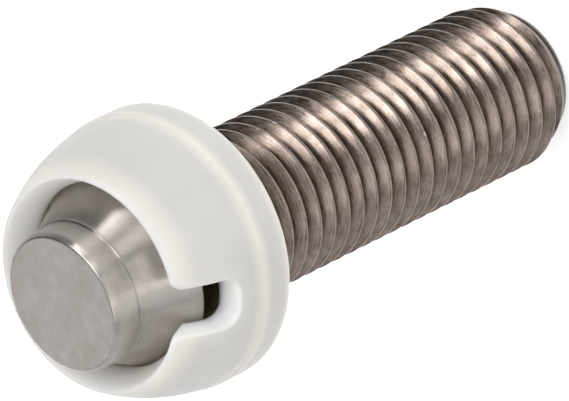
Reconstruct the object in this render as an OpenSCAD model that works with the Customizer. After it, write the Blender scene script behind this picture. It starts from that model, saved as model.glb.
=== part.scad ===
// Valve adjusting screw with a swivel foot.
// The screw ends in a ball. A turned steel foot sits on the ball and a moulded
// retainer, snapped over both, keeps them together. The screw stands on its
// threaded end, +Z up, with the middle of that end at the origin. Millimetres.

/* [Screw] */
// Major diameter of the thread
thread_d = 12; // [11:0.5:14]
// Length from the threaded end to the shoulder
shank_l = 33.3; // [20:0.1:60]
// Length of the lead-in taper at the threaded end
lead_in_l = 2.2; // [1:0.1:4]
// Depth of the lead-in taper, from the thread's crest in to the flat end
lead_in_drop = 1.15; // [0.9:0.05:1.5]
// Chamfer round the shoulder
shoulder_chamfer = 0.6; // [0.2:0.1:0.8]
// Fillet at the foot of the neck
neck_fillet = 0.4; // [0.2:0.1:0.6]
// Diameter of the ball
ball_d = 12; // [11.4:0.1:12.6]

/* [Drive socket] */
// Hexagon size across flats
socket_af = 6; // [4:0.5:6]
// Depth of the hexagon
socket_depth = 5.6; // [4.5:0.1:12]
// Countersink round the corners of the hexagon
socket_chamfer = 0.25; // [0.1:0.05:0.4]
// Angle of the drill point below the hexagon
drill_point = 118; // [90:2:140]

/* [Swivel foot] */
// Diameter of the boss that carries the pad face
boss_d = 10.3; // [9.6:0.1:10.6]
// How far the pad face stands proud of the retainer
pad_proud = 2.31; // [2:0.01:3]
// Height of the boss, from its collar to the pad face
boss_h = 2.16; // [1.6:0.02:2.4]
// Width of the bevel round the pad face
pad_bevel_w = 0.26; // [0.1:0.02:0.6]
// Height of the bevel round the pad face
pad_bevel_h = 0.44; // [0.1:0.02:1]
// Step from the boss out to the collar
collar_step = 0.15; // [0.1:0.05:0.5]
// Height of the collar, from its step to the flared skirt
collar_h = 0.18; // [0.12:0.02:0.4]
// Bevel on the collar's front edge
collar_bevel = 0.06; // [0.02:0.02:0.1]
// Distance from the ball's centre to the rear of the skirt
skirt_rear = 2.54; // [2:0.02:3]
// Chamfer on the rear edge of the skirt
skirt_chamfer = 0.25; // [0.1:0.05:0.5]
// Lean of the foot as it rests
rest_lean = 5.3; // [0:0.1:8]

/* [Retainer] */
// Diameter of the rear band
retainer_d = 20; // [19.6:0.1:21]
// Length of the rear band, back from the ball's centre
band_l = 2.85; // [2.5:0.05:3.4]
// Wall between the band and the cavity
retainer_wall = 2.05; // [1.8:0.05:2.2]
// Thickness of the rear wall round the ball
rear_wall = 1.5; // [0.8:0.1:2]
// Height of the flared opening, from its inner edge to the lip
mouth_h = 2.314; // [1.8:0.001:2.6]
// Radius of the dome's curve from band to lip
dome_round = 16.3; // [14:0.1:24]
// How far behind the ball's centre the dome's curve would be widest
dome_drop = 1.37; // [0.5:0.01:2]
// Step from the band in to the dome
dome_step = 0.02; // [0.01:0.01:0.1]
// Width of the lip between dome and opening
lip_land = 0.25; // [0.15:0.05:0.5]
// Rounding of the rear rim
rim_round = 0.5; // [0.2:0.05:1]
// Width of the relief slot
slot_w = 3.58; // [2.8:0.02:4.2]
// Distance from the ball's centre to the end of the slot
slot_end = 2.09; // [1.2:0.01:3]
// Rounding of the corners at the slot's end
slot_end_round = 1.2; // [0.4:0.1:1.3]
// Rounding where the slot runs into the opening
slot_mouth_round = 0.6; // [0.2:0.05:1]
// Direction of the slot, from the side that the foot leans to
slot_azimuth = 119; // [0:1:359]

/* [Clearances] */
// Between the ball and its seats in the foot and the retainer
ball_clear = 0.06; // [0.02:0.01:0.1]
// Between the neck and the hole in the retainer
neck_clear = 1.15; // [0.8:0.05:1.5]
// Between the shoulder and the retainer
shoulder_gap = 2.65; // [2:0.05:4]
// Between the skirt and the cavity
skirt_gap = 0.17; // [0.1:0.01:0.4]
// Between the collar and the opening's inner edge, as room to lean
opening_clear = 1.317; // [1.1:0.001:1.6]
// Between the drill and the flats of the drive socket
drill_clear = 0.1; // [0.05:0.05:0.3]

/* [Hidden] */
$fn = 96;
// Overlap that keeps cuts clean
cut = 0.1;

thread_r = thread_d / 2;
end_r = thread_r - lead_in_drop;
ball_r = ball_d / 2;
seat_r = ball_r + ball_clear;
socket_r = socket_af / 2 / cos(30);

// The rear hole is as wide as the ball seat where the rear face cuts it
rear_hole_r = sqrt(pow(seat_r, 2) - pow(band_l, 2));
neck_r = rear_hole_r - neck_clear;
ball_z = shank_l + shoulder_gap + band_l;

retainer_r = retainer_d / 2;
cavity_r = retainer_r - retainer_wall;
cavity_depth = band_l - rear_wall;
skirt_r = cavity_r - skirt_gap;

// The opening's inner edge lies on the cavity's round, clear of the collar
boss_r = boss_d / 2;
collar_r = boss_r + collar_step;
edge_r = collar_r + opening_clear;
edge_z = sqrt(pow(cavity_r, 2) - pow(edge_r, 2));

// The dome's curve, in a section through the axis, up to the lip
dome_h = edge_z + mouth_h;
dome_r = retainer_r - dome_step;
dome_centre_r = dome_r - dome_round;
lip_r = dome_centre_r + sqrt(pow(dome_round, 2) - pow(dome_h + dome_drop, 2));
mouth_r = lip_r - lip_land;
mouth_slope = (mouth_r - edge_r) / mouth_h;

// The skirt flares in one straight cone from the collar to its rear edge
pad_z = dome_h + pad_proud;
collar_z = pad_z - boss_h;
skirt_z = collar_z - collar_h;
rear_r = sqrt(pow(skirt_r, 2) - pow(skirt_rear, 2));
skirt_flare = atan((rear_r - collar_r) / (skirt_z - skirt_rear));

// Quarter of a square corner left over outside a round, for fillets
module fillet_section(r) {
    difference() {
        translate([-cut, -cut]) square(r + cut);
        translate([r, r]) circle(r);
    }
}

module screw_section() {
    polygon([
        [0, 0],
        [end_r, 0],
        [thread_r, lead_in_l],
        [thread_r, shank_l - shoulder_chamfer],
        [thread_r - shoulder_chamfer, shank_l],
        [neck_r, shank_l],
        [neck_r, ball_z],
        [0, ball_z],
    ]);
    translate([neck_r, shank_l]) fillet_section(neck_fillet);
}

// Hexagon with a countersunk mouth and the drill point at its bottom
module drive_socket() {
    mouth_wide = socket_r + socket_chamfer + cut;
    mouth_narrow = socket_af / 2 - cut;
    drill_r = socket_af / 2 - drill_clear;
    translate([0, 0, -cut]) cylinder(r = socket_r, h = socket_depth + cut, $fn = 6);
    translate([0, 0, -cut]) cylinder(r1 = mouth_wide, r2 = mouth_narrow, h = mouth_wide - mouth_narrow);
    translate([0, 0, socket_depth - cut]) cylinder(r = drill_r, h = cut);
    translate([0, 0, socket_depth]) cylinder(r1 = drill_r, r2 = 0, h = drill_r / tan(drill_point / 2));
}

module adjusting_screw() {
    color([0.45, 0.40, 0.37]) difference() {
        union() {
            rotate_extrude() screw_section();
            translate([0, 0, ball_z]) sphere(ball_r);
        }
        drive_socket();
    }
}

// Half section of the foot, with the ball's centre at the origin: pad, boss, collar and
// flared skirt over the ball seat
module foot_section() {
    difference() {
        polygon([
            [0, skirt_rear],
            [rear_r - skirt_chamfer, skirt_rear],
            [rear_r - skirt_chamfer * tan(skirt_flare), skirt_rear + skirt_chamfer],
            [collar_r, skirt_z],
            [collar_r, collar_z - collar_bevel],
            [collar_r - collar_bevel, collar_z],
            [boss_r, collar_z],
            [boss_r, pad_z - pad_bevel_h],
            [boss_r - pad_bevel_w, pad_z],
            [0, pad_z],
        ]);
        circle(seat_r);
    }
}

module swivel_foot() {
    color([0.68, 0.66, 0.64])
        translate([0, 0, ball_z]) rotate([0, rest_lean, 0]) rotate_extrude() foot_section();
}

// Half section of the retainer's outside, with the ball's centre at the origin
module retainer_outline() {
    intersection() {
        translate([dome_centre_r, -dome_drop]) circle(dome_round);
        translate([0, -cut]) square([retainer_r, dome_h + cut]);
    }
    translate([0, rim_round - band_l]) square([retainer_r, band_l - rim_round]);
    translate([0, -band_l]) square([retainer_r - rim_round, band_l]);
    translate([retainer_r - rim_round, rim_round - band_l]) circle(rim_round);
}

// Half section of the retainer: dome, rear wall, cavity, ball seat and flared opening
module retainer_section() {
    difference() {
        retainer_outline();
        intersection() {
            circle(cavity_r);
            square(cavity_r);
        }
        translate([0, -cavity_depth]) square([cavity_r, cavity_depth + cut]);
        circle(seat_r);
        translate([0, -band_l - cut]) square([rear_hole_r, band_l]);
        polygon([
            [0, edge_z - cut],
            [edge_r - cut * mouth_slope, edge_z - cut],
            [mouth_r + cut * mouth_slope, dome_h + cut],
            [0, dome_h + cut],
        ]);
    }
}

// Outline of the slot seen along its radial direction, x forward from the ball's centre
module slot_section() {
    corner_x = slot_end + slot_end_round;
    corner_y = slot_w / 2 - slot_end_round;
    translate([corner_x, -slot_w / 2]) square([dome_h + cut - corner_x, slot_w]);
    translate([slot_end, -corner_y]) square([dome_h - slot_end, 2 * corner_y]);
    for (side = [-1, 1]) {
        translate([corner_x, side * corner_y]) circle(slot_end_round);
        translate([dome_h, side * slot_w / 2]) mirror([1, 0]) scale([1, side])
            fillet_section(slot_mouth_round);
    }
}

module retainer() {
    color([0.85, 0.85, 0.83]) translate([0, 0, ball_z]) difference() {
        rotate_extrude() retainer_section();
        rotate([0, 0, slot_azimuth]) rotate([0, 90, 0]) rotate([0, 0, 180])
            translate([0, 0, cavity_r / 2]) linear_extrude(retainer_r) slot_section();
    }
}

adjusting_screw();
swivel_foot();
retainer();
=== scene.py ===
import math

import bmesh
import bpy
from mathutils import Matrix, Vector


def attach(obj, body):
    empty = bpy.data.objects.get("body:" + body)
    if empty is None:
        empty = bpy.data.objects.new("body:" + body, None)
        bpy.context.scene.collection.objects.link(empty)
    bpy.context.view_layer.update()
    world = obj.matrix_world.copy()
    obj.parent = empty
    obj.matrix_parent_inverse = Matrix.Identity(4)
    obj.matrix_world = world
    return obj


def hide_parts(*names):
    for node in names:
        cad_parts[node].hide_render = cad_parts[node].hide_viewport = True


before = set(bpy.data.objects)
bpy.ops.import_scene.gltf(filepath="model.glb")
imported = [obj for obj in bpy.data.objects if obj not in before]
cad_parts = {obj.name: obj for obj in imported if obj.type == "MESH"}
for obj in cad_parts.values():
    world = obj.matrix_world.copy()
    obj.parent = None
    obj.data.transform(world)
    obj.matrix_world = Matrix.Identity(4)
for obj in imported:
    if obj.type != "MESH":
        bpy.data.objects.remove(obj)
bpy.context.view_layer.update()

# Sizes are in millimetres, as in the part's source, and each finished mesh is brought to metres.
# Angles are in degrees.
MM = 0.001

# Screw; CREST_AT_X is the height of a thread crest on the +X side
THREAD_R = 6.0
THREAD_PITCH = 1.5
THREAD_FLANK = 30
THREAD_ROOT_R = 5.08
THREAD_ROOT_ROUND = 0.2165
THREAD_CREST_ROUND = 0.1
THREAD_CREST_HALF = THREAD_PITCH / 16
CREST_AT_X = 0.6185
TURNS_BELOW = 2
SPARE_TURNS = 3
SHANK_L = 33.3
LEAD_IN_L = 2.2
END_R = 4.85
SHOULDER_R = 5.0
SHOULDER_L = 0.6
SHOULDER_RIM_R = 4.9
NECK_R = 4.198
NECK_FILLET = 0.4
BALL_R = 6.0
BALL_Z = 38.8

# Drive socket in the threaded end
SOCKET_AF = 6.0
SOCKET_CHAMFER = 0.25
SOCKET_R = SOCKET_AF / 2 / math.cos(math.radians(30))
SOCKET_MOUTH_R = SOCKET_R + SOCKET_CHAMFER
SOCKET_DEPTH = 5.6
DRILL_R = 2.9
DRILL_POINT = 118

# Swivel foot, measured from the ball's centre
LEAN = 5.3
PAD_Z = 9.0306
PAD_R = 4.89
BOSS_R = 5.15
PAD_BEVEL_H = 0.44
COLLAR_Z = 6.8706
COLLAR_R = 5.3
COLLAR_H = 0.18
COLLAR_BEVEL = 0.06
SKIRT_R = 7.78
SKIRT_REAR = 2.54
SKIRT_CHAMFER = 0.25
SEAT_R = 6.06

# Retainer, measured from the ball's centre
BAND_R = 10.0
BAND_L = 2.85
RIM_ROUND = 0.5
DOME_ROUND = 16.3
DOME_CENTRE_R = -6.32
DOME_DROP = 1.37
DOME_H = 6.7206
LIP_LAND = 0.25
EDGE_R = 6.617
EDGE_Z = 4.4066
CAVITY_R = 7.95
CAVITY_DEPTH = 1.35
SLOT_HALF_W = 1.79
SLOT_END = 2.09
SLOT_END_ROUND = 1.2
SLOT_MOUTH_ROUND = 0.6
SLOT_AZIMUTH = 119
SLOT_OVERRUN = 2

# Small roundings on the corners of the turned outlines
PAD_EASE = 0.1
STEP_EASE = 0.05
COLLAR_EASE = 0.03
SKIRT_EASE = 0.1
LIP_EASE = 0.14
MOUTH_EASE = 0.09
EDGE_EASE = 0.2
BAND_EASE = 0.06

# Meshes: how far from its ends a cut is held flat, what counts as one place, and steps round the axis
HOLD = 0.2
MOUTH_HOLD = 0.3
SAME_PLACE = 0.002
WELD = 0.0005
SCREW_STEPS = 144
SOCKET_STEPS = 96
TURNED_STEPS = 192
SHARP = 30
SCREW_SHARP = 40

# Finish of the foot: depths below the pad face between which the lathe lines come in
PAD_SKIN = 0.02
LINES_FROM = 0.1

# Finish of the plastic: its colours, where CREAM is a painted glow and PALE painted light; the radii
# between which the painted light of the inner faces comes in, and the reach of the slot's walls, outwards
# from the axis and to either side of the slot
BLUISH = (0.61, 0.605, 0.59)
CREAM = (0.78, 0.745, 0.685)
PALE = (0.96, 0.945, 0.91)
INNER_LIGHT_FROM_R = 7.9
INNER_LIGHT_R = 7.5
SLOT_WALL_FROM_R = 4
SLOT_WALL_R = 5
SLOT_WALL_SIDE = 0.6
SLOT_WALL_FADE = 0.2

# The camera, from the photograph: its side of the screw, the angle between the screw's axis and the line
# of sight, the axis's slope in the picture, and the ball's centre seen from the lens (right, down, ahead)
VIEW_AZIMUTH = 153.85
VIEW_TILT = 46.04
VIEW_ROLL = 26.15
BALL_SEEN = (-8.922, 3.595, 695.08)
LENS = 645.3
SENSOR = 36

# Table top and room; the floor's size is in metres
FLOOR_SIZE = 20
FLOOR_GREY = 0.9
FLOOR_LIFT = 0.5
PART_MIDDLE = 30
ROOM = 0.56
DARK_SIDE = (112, 20)

# Softboxes: name, azimuth, elevation, then distance, width and height in metres, and strength
SOFTBOXES = (
    ("side_softbox", 57, 25, 0.55, 0.2, 0.48, 0.8),
    ("rim_softbox", 70, 43, 0.5, 0.055, 0.3, 14.0),
    ("top_softbox", 41, 63, 0.5, 0.13, 0.13, 10.0),
    ("front_softbox", -52, 48, 0.6, 0.26, 0.3, 1.8),
    ("low_softbox", -15, 20, 0.6, 0.5, 0.22, 1.9),
    ("fill_softbox", -115, 38, 0.6, 0.5, 0.4, 0.3),
    ("back_softbox", 178, 33, 0.6, 0.4, 0.35, 0.42),
)


# Turned outlines lie in the XZ plane, radius along X and height along Z.

def begin(bm, r, z):
    """First point of an outline."""
    return bm.verts.new((r, 0, z))


def cut_to(bm, last, r, z, hold=0.0):
    """Straight cut from the last point; a hold adds a point that far from each end, to keep it flat."""
    start, end = last.co.copy(), Vector((r, 0, z))
    inset = (end - start).normalized() * hold
    places = [start + inset, end - inset, end] if hold else [end]
    for place in places:
        last = bmesh.ops.extrude_vert_indiv(bm, verts=[last])["verts"][0]
        last.co = place
    return last


def swing(bm, last, r, z, angle, steps):
    """Round cut about a centre; a positive angle turns from outwards to upwards."""
    made = bmesh.ops.spin(bm, geom=[last], cent=(r, 0, z), axis=(0, -1, 0),
                          angle=math.radians(angle), steps=steps)
    return made["geom_last"][0]


def ease(bm, corners, width, segments=3):
    """Rounds the outline's corners at these places."""
    verts = [v for v in bm.verts for r, z in corners
             if math.hypot(v.co.x - r, v.co.z - z) < SAME_PLACE]
    bmesh.ops.bevel(bm, geom=verts, offset=width, segments=segments, profile=0.5,
                    affect="VERTICES", material=-1)


def turn(bm, steps):
    """Turns the outline once round the Z axis."""
    outline = bm.verts[:] + bm.edges[:]
    bmesh.ops.spin(bm, geom=outline, axis=(0, 0, 1), angle=2 * math.pi, steps=steps, use_merge=True)
    bmesh.ops.remove_doubles(bm, verts=bm.verts, dist=WELD)


def finished(bm, name, sharp=SHARP):
    """The shape as an object in metres, faces outwards, smooth up to the sharp angle."""
    bmesh.ops.recalc_face_normals(bm, faces=bm.faces)
    bmesh.ops.scale(bm, vec=(MM, MM, MM), verts=bm.verts)
    mesh = bpy.data.meshes.new(name)
    bm.to_mesh(mesh)
    bm.free()
    mesh.polygons.foreach_set("use_smooth", [True] * len(mesh.polygons))
    mesh.set_sharp_from_angle(angle=math.radians(sharp))
    piece = bpy.data.objects.new(name, mesh)
    bpy.context.scene.collection.objects.link(piece)
    return piece


def points_of(geom):
    """The points among an operator's results."""
    return [g for g in geom if isinstance(g, bmesh.types.BMVert)]


def open_rim(bm, z):
    """Edges of the open rims and loose rings at this height."""
    return [e for e in bm.edges
            if len(e.link_faces) < 2 and all(abs(v.co.z - z) < SAME_PLACE for v in e.verts)]


def ring(bm, radius, segments, z=0.0):
    """Edges of a new loose ring round the Z axis."""
    points = bmesh.ops.create_circle(bm, cap_ends=False, segments=segments, radius=radius)["verts"]
    bmesh.ops.translate(bm, vec=(0, 0, z), verts=points)
    return list({e for v in points for e in v.link_edges})


# Screw: a thread section swept up a helix, trimmed to length and to its tapers

def thread_section(bm, z):
    """One pitch of thread, from the middle of one groove to the next, with its crest at height z."""
    bend = 90 - THREAD_FLANK
    out, up = math.cos(math.radians(bend)), math.sin(math.radians(bend))
    half = THREAD_PITCH / 2
    groove_r = THREAD_ROOT_R + THREAD_ROOT_ROUND
    crest_r = THREAD_R - THREAD_CREST_ROUND
    crest = THREAD_CREST_HALF - THREAD_CREST_ROUND * math.tan(math.radians(THREAD_FLANK))
    shoulder_r = crest_r + THREAD_CREST_ROUND * out
    shoulder = crest + THREAD_CREST_ROUND * up
    point = begin(bm, THREAD_ROOT_R, z - half)
    point = swing(bm, point, groove_r, z - half, -bend, steps=3)
    point = cut_to(bm, point, shoulder_r, z - shoulder)
    point = swing(bm, point, crest_r, z - crest, bend, steps=3)
    point = cut_to(bm, point, THREAD_R, z + crest)
    point = swing(bm, point, crest_r, z + crest, bend, steps=3)
    point = cut_to(bm, point, groove_r - THREAD_ROOT_ROUND * out, z + half - THREAD_ROOT_ROUND * up)
    swing(bm, point, groove_r, z + half, -bend, steps=3)


def sweep_thread(bm):
    """Winds the thread section from below the end to above the shoulder, right-handed."""
    turns = math.ceil(SHANK_L / THREAD_PITCH) + SPARE_TURNS
    thread_section(bm, CREST_AT_X - TURNS_BELOW * THREAD_PITCH)
    bmesh.ops.spin(bm, geom=bm.verts[:] + bm.edges[:], axis=(0, 0, 1),
                   dvec=(0, 0, THREAD_PITCH / SCREW_STEPS), angle=2 * math.pi, steps=SCREW_STEPS)
    one_turn = bm.verts[:] + bm.edges[:] + bm.faces[:]
    for count in range(1, turns):
        copy = bmesh.ops.duplicate(bm, geom=one_turn)["geom"]
        bmesh.ops.translate(bm, vec=(0, 0, count * THREAD_PITCH), verts=points_of(copy))
    bmesh.ops.remove_doubles(bm, verts=bm.verts, dist=WELD)


def trim_shank(bm):
    """Cuts the wound thread to length, then turns the lead-in taper and the shoulder's chamfer on it."""
    for height, side in ((0, -1), (SHANK_L, 1)):
        bmesh.ops.bisect_plane(bm, geom=bm.verts[:] + bm.edges[:] + bm.faces[:], dist=WELD,
                               plane_co=(0, 0, height), plane_no=(0, 0, side), clear_outer=True)
    for v in bm.verts:
        lead_in = END_R + v.co.z * (THREAD_R - END_R) / LEAD_IN_L
        shoulder = SHOULDER_R + (SHANK_L - v.co.z) * (THREAD_R - SHOULDER_R) / SHOULDER_L
        share = min(lead_in, shoulder) / v.co.xy.length
        if share < 1:
            v.co.xy *= share


def cut_drive_socket(bm):
    """Closes the threaded end with its countersunk hexagon socket and drill point."""
    mouth = ring(bm, SOCKET_MOUTH_R, SOCKET_STEPS)
    bmesh.ops.bridge_loops(bm, edges=open_rim(bm, 0))
    bmesh.ops.subdivide_edges(bm, edges=ring(bm, SOCKET_R, 6), cuts=SOCKET_STEPS // 6 - 1)
    hexagon = [e for e in bm.edges if e.is_wire]
    for v in {v for e in hexagon for v in e.verts}:
        v.co.z = SOCKET_MOUTH_R - v.co.xy.length
    bmesh.ops.bridge_loops(bm, edges=mouth + hexagon)
    wall = bmesh.ops.extrude_edge_only(bm, edges=hexagon)["geom"]
    for v in points_of(wall):
        v.co.z = SOCKET_DEPTH
    bottom = [g for g in wall if isinstance(g, bmesh.types.BMEdge) and g.is_boundary]
    drill = ring(bm, DRILL_R, SOCKET_STEPS, SOCKET_DEPTH)
    bmesh.ops.bridge_loops(bm, edges=bottom + drill)
    point = bmesh.ops.extrude_edge_only(bm, edges=drill)["geom"]
    tip = Vector((0, 0, SOCKET_DEPTH + DRILL_R / math.tan(math.radians(DRILL_POINT / 2))))
    bmesh.ops.pointmerge(bm, verts=points_of(point), merge_co=tip)


def ball_end():
    """Neck and ball, turned, as a mesh that starts with an open rim inside the shoulder."""
    bm = bmesh.new()
    meet = math.degrees(math.acos(NECK_R / BALL_R))
    point = begin(bm, SHOULDER_RIM_R, SHANK_L)
    point = cut_to(bm, point, NECK_R + NECK_FILLET, SHANK_L)
    point = swing(bm, point, NECK_R + NECK_FILLET, SHANK_L + NECK_FILLET, -90, steps=5)
    point = cut_to(bm, point, NECK_R, BALL_Z - BALL_R * math.sin(math.radians(meet)))
    swing(bm, point, 0, BALL_Z, 90 + meet, steps=40)
    turn(bm, SCREW_STEPS)
    mesh = bpy.data.meshes.new("ball_end")
    bm.to_mesh(mesh)
    bm.free()
    return mesh


def make_screw():
    """Threaded shank, neck and ball in one closed piece."""
    bm = bmesh.new()
    sweep_thread(bm)
    trim_shank(bm)
    cut_drive_socket(bm)
    ball = ball_end()
    bm.from_mesh(ball)
    bpy.data.meshes.remove(ball)
    bmesh.ops.bridge_loops(bm, edges=open_rim(bm, SHANK_L))
    return finished(bm, "threaded_screw", SCREW_SHARP)


# Foot: turned about its own axis, then leaned on the ball

def make_foot():
    """Pad, boss, collar and flared skirt over a spherical seat."""
    skirt_z = COLLAR_Z - COLLAR_H
    rear_r = math.sqrt(SKIRT_R ** 2 - SKIRT_REAR ** 2)
    slope = (rear_r - COLLAR_R) / (skirt_z - SKIRT_REAR)
    seat_r = math.sqrt(SEAT_R ** 2 - SKIRT_REAR ** 2)
    collar_edge = (COLLAR_R - COLLAR_BEVEL, COLLAR_Z)
    collar_side = (COLLAR_R, COLLAR_Z - COLLAR_BEVEL)
    rear_side = (rear_r - SKIRT_CHAMFER * slope, SKIRT_REAR + SKIRT_CHAMFER)
    rear_edge = (rear_r - SKIRT_CHAMFER, SKIRT_REAR)

    bm = bmesh.new()
    point = begin(bm, 0, PAD_Z)
    point = cut_to(bm, point, PAD_R, PAD_Z, HOLD)
    point = cut_to(bm, point, BOSS_R, PAD_Z - PAD_BEVEL_H)
    point = cut_to(bm, point, BOSS_R, COLLAR_Z, HOLD)
    point = cut_to(bm, point, *collar_edge)
    point = cut_to(bm, point, *collar_side)
    point = cut_to(bm, point, COLLAR_R, skirt_z)
    point = cut_to(bm, point, *rear_side, HOLD)
    point = cut_to(bm, point, *rear_edge)
    point = cut_to(bm, point, seat_r, SKIRT_REAR, HOLD)
    swing(bm, point, 0, 0, 90 - math.degrees(math.asin(SKIRT_REAR / SEAT_R)), steps=24)
    ease(bm, [(PAD_R, PAD_Z), (BOSS_R, PAD_Z - PAD_BEVEL_H)], PAD_EASE)
    ease(bm, [(BOSS_R, COLLAR_Z), (COLLAR_R, skirt_z)], STEP_EASE)
    ease(bm, [collar_edge, collar_side], COLLAR_EASE, segments=2)
    ease(bm, [rear_edge, rear_side], SKIRT_EASE)
    turn(bm, TURNED_STEPS)
    leaned = Matrix.Rotation(math.radians(LEAN), 3, "Y")
    bmesh.ops.rotate(bm, cent=(0, 0, 0), matrix=leaned, verts=bm.verts)
    bmesh.ops.translate(bm, vec=(0, 0, BALL_Z), verts=bm.verts)
    return finished(bm, "pad_foot")


# Retainer: a turned shell, then the relief slot cut out of it

def make_slot_cutter():
    """Relief slot's outline with round corners, drawn outwards through the wall."""
    bm = bmesh.new()
    inner = SLOT_HALF_W - SLOT_END_ROUND
    outer = SLOT_HALF_W + SLOT_MOUTH_ROUND
    round_z = DOME_H - SLOT_MOUTH_ROUND
    top = DOME_H + SLOT_OVERRUN
    point = begin(bm, 0, SLOT_END)
    point = cut_to(bm, point, inner, SLOT_END)
    point = swing(bm, point, inner, SLOT_END + SLOT_END_ROUND, 90, steps=14)
    point = cut_to(bm, point, SLOT_HALF_W, round_z)
    point = swing(bm, point, outer, round_z, -90, steps=8)
    point = cut_to(bm, point, outer, top)
    cut_to(bm, point, 0, top)
    bmesh.ops.mirror(bm, geom=bm.verts[:] + bm.edges[:], axis="X", merge_dist=0.001)
    face = bmesh.ops.contextual_create(bm, geom=bm.edges[:])["faces"]
    drawn = bmesh.ops.extrude_face_region(bm, geom=face)["geom"]
    bmesh.ops.translate(bm, vec=(0, BAND_R, 0), verts=points_of(drawn))
    bmesh.ops.translate(bm, vec=(0, CAVITY_R / 2, BALL_Z), verts=bm.verts)
    to_slot = Matrix.Rotation(math.radians(SLOT_AZIMUTH - 90), 3, "Z")
    bmesh.ops.rotate(bm, cent=(0, 0, 0), matrix=to_slot, verts=bm.verts)
    return finished(bm, "slot_cutter")


def make_retainer():
    """Domed shell with a rear band, flared opening, ball seat and one relief slot."""
    start_angle = math.degrees(math.asin(DOME_DROP / DOME_ROUND))
    lip_angle = math.degrees(math.asin((DOME_H + DOME_DROP) / DOME_ROUND))
    dome_r = DOME_CENTRE_R + DOME_ROUND * math.cos(math.radians(start_angle))
    lip_r = DOME_CENTRE_R + DOME_ROUND * math.cos(math.radians(lip_angle))
    mouth_r = lip_r - LIP_LAND
    edge_angle = math.degrees(math.atan2(EDGE_Z, EDGE_R))
    floor_angle = math.degrees(math.asin(CAVITY_DEPTH / SEAT_R))
    rear_angle = math.degrees(math.asin(BAND_L / SEAT_R))

    bm = bmesh.new()
    first = begin(bm, dome_r, 0)
    point = swing(bm, first, DOME_CENTRE_R, -DOME_DROP, lip_angle - start_angle, steps=20)
    point = cut_to(bm, point, mouth_r, DOME_H)
    point = cut_to(bm, point, EDGE_R, EDGE_Z, MOUTH_HOLD)
    point = swing(bm, point, 0, 0, -edge_angle, steps=16)
    point = cut_to(bm, point, CAVITY_R, -CAVITY_DEPTH)
    point = cut_to(bm, point, SEAT_R * math.cos(math.radians(floor_angle)), -CAVITY_DEPTH)
    point = swing(bm, point, 0, 0, floor_angle - rear_angle, steps=8)
    point = cut_to(bm, point, BAND_R - RIM_ROUND, -BAND_L)
    point = swing(bm, point, BAND_R - RIM_ROUND, RIM_ROUND - BAND_L, 90, steps=6)
    point = cut_to(bm, point, BAND_R, 0, HOLD)
    bmesh.ops.contextual_create(bm, geom=[point, first])
    ease(bm, [(lip_r, DOME_H)], LIP_EASE)
    ease(bm, [(mouth_r, DOME_H)], MOUTH_EASE)
    ease(bm, [(EDGE_R, EDGE_Z)], EDGE_EASE)
    ease(bm, [(BAND_R, 0)], BAND_EASE)
    turn(bm, TURNED_STEPS)
    bmesh.ops.translate(bm, vec=(0, 0, BALL_Z), verts=bm.verts)
    retainer = finished(bm, "snap_retainer")

    cutter = make_slot_cutter()
    slot = retainer.modifiers.new("relief_slot", "BOOLEAN")
    slot.operation, slot.solver, slot.object = "DIFFERENCE", "EXACT", cutter
    shell = retainer.data
    depsgraph = bpy.context.evaluated_depsgraph_get()
    retainer.data = bpy.data.meshes.new_from_object(retainer.evaluated_get(depsgraph))
    retainer.data.name = "snap_retainer"
    retainer.modifiers.clear()
    retainer.data.set_sharp_from_angle(angle=math.radians(SHARP))
    bpy.data.meshes.remove(shell)
    bpy.data.meshes.remove(cutter.data)
    return retainer


# Finishes

def shader(name):
    """A new material with its node tree, shader and surface coordinates."""
    material = bpy.data.materials.new(name)
    material.use_nodes = True
    nodes, links = material.node_tree.nodes, material.node_tree.links
    surface = nodes["Principled BSDF"]
    place = nodes.new("ShaderNodeTexCoord").outputs["Object"]
    return material, nodes, links, surface, place


def grain(nodes, links, coordinates, scale, detail, rough):
    """Noise on the surface; scale is in features per metre."""
    noise = nodes.new("ShaderNodeTexNoise")
    noise.inputs["Scale"].default_value = scale
    noise.inputs["Detail"].default_value = detail
    noise.inputs["Roughness"].default_value = rough
    links.new(coordinates, noise.inputs["Vector"])
    return noise.outputs["Fac"]


def ramp(nodes, links, value, stops):
    """Colours or greys along a value; stops are (place, colour)."""
    node = nodes.new("ShaderNodeValToRGB")
    while len(node.color_ramp.elements) < len(stops):
        node.color_ramp.elements.new(0.5)
    for element, (place, colour) in zip(node.color_ramp.elements, stops):
        element.position = place
        element.color = (*colour, 1) if isinstance(colour, tuple) else (colour, colour, colour, 1)
    links.new(value, node.inputs["Fac"])
    return node.outputs["Color"]


def spread(nodes, links, value, low, high, to_low=0.0, to_high=1.0):
    """A value's range spread to another range."""
    node = nodes.new("ShaderNodeMapRange")
    ends = (("From Min", low), ("From Max", high), ("To Min", to_low), ("To Max", to_high))
    for socket, number in ends:
        node.inputs[socket].default_value = number
    links.new(value, node.inputs["Value"])
    return node.outputs["Result"]


def blend(nodes, links, how, share, first, second):
    """Two colours mixed."""
    node = nodes.new("ShaderNodeMix")
    node.data_type, node.blend_type = "RGBA", how
    if isinstance(share, float):
        node.inputs["Factor"].default_value = share
    else:
        links.new(share, node.inputs["Factor"])
    links.new(first, node.inputs["A"])
    if isinstance(second, tuple):
        node.inputs["B"].default_value = (*second, 1)
    else:
        links.new(second, node.inputs["B"])
    return node.outputs["Result"]


def relief(nodes, links, height, depth, surface):
    """Bump of that depth in metres."""
    node = nodes.new("ShaderNodeBump")
    node.inputs["Strength"].default_value = 1.0
    node.inputs["Distance"].default_value = depth
    links.new(height, node.inputs["Height"])
    links.new(node.outputs["Normal"], surface.inputs["Normal"])
    return node


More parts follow.
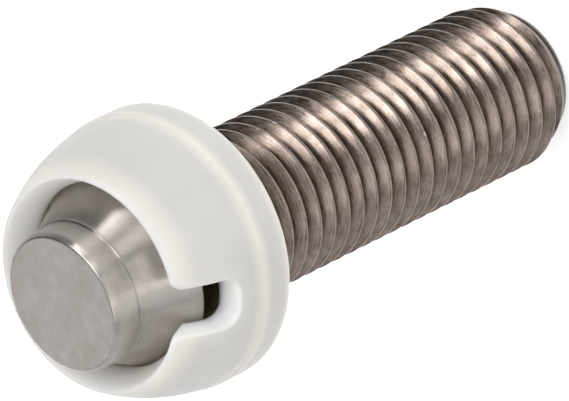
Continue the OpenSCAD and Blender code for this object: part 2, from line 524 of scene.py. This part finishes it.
def reckon(nodes, links, kind, operation, *values):
    """Outputs of a Math or VectorMath node on other nodes' outputs and fixed numbers."""
    node = nodes.new("ShaderNode" + kind)
    node.operation = operation
    for socket, value in zip(node.inputs, values):
        if isinstance(value, bpy.types.NodeSocket):
            links.new(value, socket)
        else:
            socket.default_value = value
    return node.outputs


def split(nodes, links, vector):
    """X, Y and Z of a vector."""
    node = nodes.new("ShaderNodeSeparateXYZ")
    links.new(vector, node.inputs["Vector"])
    return node.outputs


def own_frame(nodes, links, place, height, angles):
    """Coordinates in a frame at this height on the screw's axis, turned by these angles."""
    node = nodes.new("ShaderNodeMapping")
    node.vector_type = "TEXTURE"
    node.inputs["Location"].default_value = (0, 0, height * MM)
    node.inputs["Rotation"].default_value = [math.radians(angle) for angle in angles]
    links.new(place, node.inputs["Vector"])
    return node.outputs["Vector"]


def carried(nodes, links, vector, kind, start, end):
    """A vector or normal carried from one space to another."""
    node = nodes.new("ShaderNodeVectorTransform")
    node.vector_type, node.convert_from, node.convert_to = kind, start, end
    links.new(vector, node.inputs["Vector"])
    return node.outputs["Vector"]


def distance_from_axis(nodes, links, place):
    """Distance from the Z axis."""
    flat = reckon(nodes, links, "VectorMath", "MULTIPLY", place, (1, 1, 0))["Vector"]
    return reckon(nodes, links, "VectorMath", "LENGTH", flat)["Value"]


def unrolled(nodes, links, place, radius, stretch):
    """Coordinates that stretch a pattern round the Z axis."""
    parts = split(nodes, links, place)
    angle = reckon(nodes, links, "Math", "ARCTAN2", parts["Y"], parts["X"])["Value"]
    around = reckon(nodes, links, "Math", "MULTIPLY", angle, THREAD_R * MM / stretch)["Value"]
    flat = nodes.new("ShaderNodeCombineXYZ")
    links.new(radius, flat.inputs["X"])
    links.new(around, flat.inputs["Y"])
    links.new(parts["Z"], flat.inputs["Z"])
    return flat.outputs["Vector"]


def rolled_steel():
    """Dark, slightly brown steel, with painted shade in the grooves and on the crests, rolling marks along
    the thread, nicked crests, and the neck and ball painted dark as shade.
    """
    material, nodes, links, surface, place = shader("rolled_steel")
    surface.inputs["Metallic"].default_value = 1.0
    radius = distance_from_axis(nodes, links, place)
    depth = spread(nodes, links, radius, THREAD_ROOT_R * MM, THREAD_R * MM)
    # Painted shade: darker towards the roots of the thread, and a little darker again on the crests,
    # dimming their reflected line.
    groove = ramp(nodes, links, depth, [
        (0.0, (0.052, 0.041, 0.033)),
        (0.28, (0.262, 0.212, 0.178)),
        (0.86, (0.400, 0.337, 0.294)),
        (1.0, (0.290, 0.252, 0.224)),
    ])
    blotches = grain(nodes, links, place, scale=520, detail=6, rough=0.7)
    stain = ramp(nodes, links, blotches, [(0.32, (0.58, 0.53, 0.50)), (0.66, 1.0)])
    along_thread = unrolled(nodes, links, place, radius, stretch=8)
    marks = grain(nodes, links, along_thread, scale=7000, detail=4, rough=0.65)
    streaks = ramp(nodes, links, marks, [(0.36, (0.62, 0.60, 0.60)), (0.62, 1.0)])
    stained = blend(nodes, links, "MULTIPLY", 0.9, groove, stain)
    steel = blend(nodes, links, "MULTIPLY", 1.0, stained, streaks)

    specks = grain(nodes, links, place, scale=1500, detail=2, rough=0.5)
    nicks = ramp(nodes, links, specks, [(0.7, 0.0), (0.78, 0.5)])
    crest = ramp(nodes, links, depth, [(0.75, 0.0), (0.95, 0.75)])
    nicked = blend(nodes, links, "MULTIPLY", 1.0, nicks, crest)
    bright = blend(nodes, links, "ADD", nicked, steel, stain)
    # Painted shade: the neck and ball, which lie in the dark inside the retainer, are painted dark.
    height = spread(nodes, links, split(nodes, links, place)["Z"], 0, BALL_Z * MM)
    ball_painted_dark = ramp(nodes, links, height, [(0.86, 1.0), (0.9, 0.3)])
    links.new(blend(nodes, links, "MULTIPLY", 1.0, bright, ball_painted_dark), surface.inputs["Base Color"])

    rough = spread(nodes, links, marks, 0.3, 0.7, to_low=0.21, to_high=0.38)
    links.new(rough, surface.inputs["Roughness"])
    fine = grain(nodes, links, place, scale=2600, detail=5, rough=0.65)
    relief(nodes, links, blend(nodes, links, "MIX", 0.45, marks, fine), 0.012 * MM, surface)
    return material


def turned_steel():
    """Turned steel: lathe lines that draw highlights out along the sides, and a duller, mottled pad."""
    material, nodes, links, surface, place = shader("turned_steel")
    surface.inputs["Metallic"].default_value = 1.0
    own = own_frame(nodes, links, place, BALL_Z, (0, LEAN, 0))
    height = split(nodes, links, own)["Z"]
    side = spread(nodes, links, height, (PAD_Z - PAD_SKIN) * MM, (PAD_Z - LINES_FROM) * MM)

    mottle = grain(nodes, links, own, scale=600, detail=6, rough=0.7)
    colour = ramp(nodes, links, mottle, [(0.3, (0.40, 0.365, 0.34)), (0.7, (0.50, 0.465, 0.44))])
    specks = grain(nodes, links, own, scale=1700, detail=1, rough=0.4)
    pits = ramp(nodes, links, specks, [(0.18, (0.5, 0.47, 0.45)), (0.23, 1.0)])
    links.new(blend(nodes, links, "MULTIPLY", 1.0, colour, pits), surface.inputs["Base Color"])

    outward = reckon(nodes, links, "VectorMath", "SUBTRACT", place, (0, 0, BALL_Z * MM))["Vector"]
    across_lines = carried(nodes, links, outward, "VECTOR", "OBJECT", "WORLD")
    links.new(across_lines, surface.inputs["Tangent"])
    links.new(side, surface.inputs["Anisotropic"])

    round_axis = unrolled(nodes, links, own, distance_from_axis(nodes, links, own), stretch=30)
    lines = grain(nodes, links, round_axis, scale=9000, detail=3, rough=0.6)
    wear = grain(nodes, links, own, scale=1500, detail=4, rough=0.6)
    sheen = spread(nodes, links, lines, 0.3, 0.7, to_low=0.31, to_high=0.4)
    dull = spread(nodes, links, wear, 0.3, 0.7, to_low=0.24, to_high=0.32)
    links.new(blend(nodes, links, "MIX", side, dull, sheen), surface.inputs["Roughness"])
    fine = grain(nodes, links, own, scale=2400, detail=3, rough=0.55)
    relief(nodes, links, blend(nodes, links, "MIX", 0.5, lines, fine), 0.006 * MM, surface)
    return material


def slot_wall_light_mask(nodes, links, place):
    """One on the walls of the relief slot, nought elsewhere; there the walls are painted pale as painted
    light.
    """
    own = own_frame(nodes, links, place, BALL_Z + SLOT_END, (0, 0, SLOT_AZIMUTH))
    parts = split(nodes, links, own)
    across = reckon(nodes, links, "Math", "ABSOLUTE", parts["Y"])["Value"]
    reach = SLOT_HALF_W + SLOT_WALL_SIDE
    between = spread(nodes, links, across, (reach + SLOT_WALL_FADE) * MM, reach * MM)
    outward = spread(nodes, links, parts["X"], SLOT_WALL_FROM_R * MM, SLOT_WALL_R * MM)

    normal = nodes.new("ShaderNodeNewGeometry").outputs["Normal"]
    facing = carried(nodes, links, normal, "NORMAL", "WORLD", "OBJECT")
    azimuth = math.radians(SLOT_AZIMUTH)
    along_slot = (math.cos(azimuth), math.sin(azimuth), 0)
    slant = reckon(nodes, links, "VectorMath", "DOT_PRODUCT", facing, along_slot)["Value"]
    steep = reckon(nodes, links, "Math", "ABSOLUTE", slant)["Value"]
    wall = spread(nodes, links, steep, 0.35, 0.1)
    near_slot = blend(nodes, links, "MULTIPLY", 1.0, between, outward)
    return blend(nodes, links, "MULTIPLY", 1.0, near_slot, wall)


def milky_plastic():
    """Milky moulded plastic: bluish where steel lies behind it, with a painted creamy glow on its rims,
    ridge and edges, painted light on its inner faces and slot walls, and a satin skin.
    """
    material, nodes, links, surface, place = shader("milky_plastic")
    up = split(nodes, links, place)["Z"]
    height = spread(nodes, links, up, (BALL_Z - BAND_L) * MM, (BALL_Z + DOME_H) * MM)
    ridge = BAND_L / (BAND_L + DOME_H)
    # Painted glow: cream on the rear rim, along the ridge and at the lip, over the bluish body.
    wall = ramp(nodes, links, height, [
        (0.0, CREAM), (0.09, BLUISH), (ridge - 0.09, BLUISH), (ridge, CREAM),
        (ridge + 0.1, BLUISH), (0.8, BLUISH), (1.0, CREAM),
    ])
    # Painted light: the inner faces of the opening and cavity are painted pale.
    radius = distance_from_axis(nodes, links, place)
    inside = spread(nodes, links, radius, INNER_LIGHT_FROM_R * MM, INNER_LIGHT_R * MM)
    with_painted_inner_light = blend(nodes, links, "MIX", inside, wall, PALE)
    # Painted light: the slot's walls are painted pale too.
    with_painted_inner_light = blend(nodes, links, "MIX", slot_wall_light_mask(nodes, links, place), with_painted_inner_light, PALE)

    # Painted highlight: edges that the Bevel node rounds off are painted cream.
    soft = nodes.new("ShaderNodeBevel")
    soft.samples = 8
    soft.inputs["Radius"].default_value = 0.4 * MM
    rounded = soft.outputs["Normal"]
    normal = nodes.new("ShaderNodeNewGeometry").outputs["Normal"]
    turned_away = reckon(nodes, links, "VectorMath", "DOT_PRODUCT", rounded, normal)["Value"]
    painted_edge_glow = spread(nodes, links, turned_away, 0.99, 0.85)
    with_edge_glow = blend(nodes, links, "MIX", painted_edge_glow, with_painted_inner_light, CREAM)
    haze = grain(nodes, links, place, scale=160, detail=3, rough=0.5)
    cloud = ramp(nodes, links, haze, [(0.35, 0.94), (0.65, 1.0)])
    links.new(blend(nodes, links, "MULTIPLY", 1.0, with_edge_glow, cloud), surface.inputs["Base Color"])

    surface.inputs["Subsurface Weight"].default_value = 1.0
    surface.inputs["Subsurface Radius"].default_value = (1.0, 0.88, 0.7)
    surface.inputs["Subsurface Scale"].default_value = 3 * MM
    surface.inputs["Roughness"].default_value = 0.42
    fine = grain(nodes, links, place, scale=900, detail=3, rough=0.5)
    skin = relief(nodes, links, fine, 0.015 * MM, surface)
    links.new(rounded, skin.inputs["Normal"])
    return material


def dress(piece, material, body, node):
    """Gives a piece its finish and its place in the assembly."""
    piece.data.materials.clear()
    piece.data.materials.append(material)
    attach(piece, body)
    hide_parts(node)


# Stage

def make_floor():
    """Plain white table top, lifted to white where it is seen or mirrored."""
    bm = bmesh.new()
    bmesh.ops.create_grid(bm, x_segments=1, y_segments=1, size=FLOOR_SIZE)
    mesh = bpy.data.meshes.new("floor")
    bm.to_mesh(mesh)
    bm.free()
    floor = bpy.data.objects.new("floor", mesh)
    bpy.context.scene.collection.objects.link(floor)

    material = bpy.data.materials.new("white_table")
    material.use_nodes = True
    nodes, links = material.node_tree.nodes, material.node_tree.links
    nodes.remove(nodes["Principled BSDF"])
    paint = nodes.new("ShaderNodeBsdfDiffuse")
    paint.inputs["Color"].default_value = (FLOOR_GREY, FLOOR_GREY, FLOOR_GREY, 1)
    lift = nodes.new("ShaderNodeEmission")
    lift.inputs["Strength"].default_value = FLOOR_LIFT
    lifted = nodes.new("ShaderNodeAddShader")
    links.new(paint.outputs["BSDF"], lifted.inputs[0])
    links.new(lift.outputs["Emission"], lifted.inputs[1])
    path = nodes.new("ShaderNodeLightPath").outputs
    seen = path["Is Camera Ray"]
    for ray in ("Is Glossy Ray", "Is Transmission Ray"):
        seen = reckon(nodes, links, "Math", "MAXIMUM", seen, path[ray])["Value"]
    choose = nodes.new("ShaderNodeMixShader")
    links.new(seen, choose.inputs["Fac"])
    links.new(paint.outputs["BSDF"], choose.inputs[1])
    links.new(lifted.outputs["Shader"], choose.inputs[2])
    links.new(choose.outputs["Shader"], nodes["Material Output"].inputs["Surface"])
    floor.data.materials.append(material)


def view_axes():
    """Right, down and ahead of the camera, in the part's frame."""
    tilt, roll, azimuth = (math.radians(a) for a in (VIEW_TILT, VIEW_ROLL, VIEW_AZIMUTH))
    along = Vector((0, 0, -1))
    near = Vector((math.cos(azimuth), math.sin(azimuth), 0))
    side = Vector((-math.sin(azimuth), math.cos(azimuth), 0))
    level = along * math.sin(tilt) + near * math.cos(tilt)
    right = level * math.cos(roll) - side * math.sin(roll)
    down = -level * math.sin(roll) - side * math.cos(roll)
    ahead = along * math.cos(tilt) - near * math.sin(tilt)
    return right, down, ahead


def make_camera():
    """Long lens at the photograph's viewing angle."""
    right, down, ahead = view_axes()
    data = bpy.data.cameras.new("camera")
    data.lens, data.sensor_width = LENS, SENSOR
    data.clip_start, data.clip_end = 0.01, 100
    camera = bpy.data.objects.new("camera", data)
    bpy.context.scene.collection.objects.link(camera)
    seen = [x * MM for x in BALL_SEEN]
    place = Vector((0, 0, BALL_Z * MM)) - right * seen[0] - down * seen[1] - ahead * seen[2]
    turned = Matrix((right, -down, -ahead)).transposed()
    camera.matrix_world = Matrix.LocRotScale(place, turned.to_quaternion(), None)
    bpy.context.scene.camera = camera


def stage_direction(azimuth, elevation):
    """Unit vector from the part; azimuth is from the camera's side towards the picture's upper side."""
    turned, raised = math.radians(VIEW_AZIMUTH + azimuth), math.radians(elevation)
    level = math.cos(raised)
    return Vector((math.cos(turned) * level, math.sin(turned) * level, math.sin(raised)))


def make_softbox(name, azimuth, elevation, away, wide, tall, strength):
    """Softbox aimed at the part; a strength of 1 shows as white."""
    toward = stage_direction(azimuth, elevation)
    data = bpy.data.lights.new(name, "AREA")
    data.shape, data.size, data.size_y = "RECTANGLE", wide, tall
    data.energy = strength * math.pi * wide * tall
    lamp = bpy.data.objects.new(name, data)
    bpy.context.scene.collection.objects.link(lamp)
    lamp.location = Vector((0, 0, PART_MIDDLE * MM)) + toward * away
    lamp.rotation_mode = "QUATERNION"
    lamp.rotation_quaternion = toward.to_track_quat("Z", "Y")


def make_room():
    """Pale room with one dark side, so that the steel has something to mirror."""
    world = bpy.data.worlds.new("room")
    world.use_nodes = True
    nodes, links = world.node_tree.nodes, world.node_tree.links
    around = nodes.new("ShaderNodeTexCoord").outputs["Generated"]
    dark = stage_direction(*DARK_SIDE)
    facing = reckon(nodes, links, "VectorMath", "DOT_PRODUCT", around, dark)["Value"]
    shade = ramp(nodes, links, facing, [(0.45, ROOM), (0.62, 0.22), (0.86, 0.1)])
    links.new(shade, nodes["Background"].inputs["Color"])
    bpy.context.scene.world = world


def light_stage():
    """Softboxes in the room."""
    for softbox in SOFTBOXES:
        make_softbox(*softbox)
    make_room()
    bpy.context.scene.view_settings.view_transform = "Standard"


dress(make_screw(), rolled_steel(), "screw", "adjusting_screw")
dress(make_foot(), turned_steel(), "foot", "swivel_foot")
dress(make_retainer(), milky_plastic(), "retainer_cap", "retainer")
make_floor()
make_camera()
light_stage()
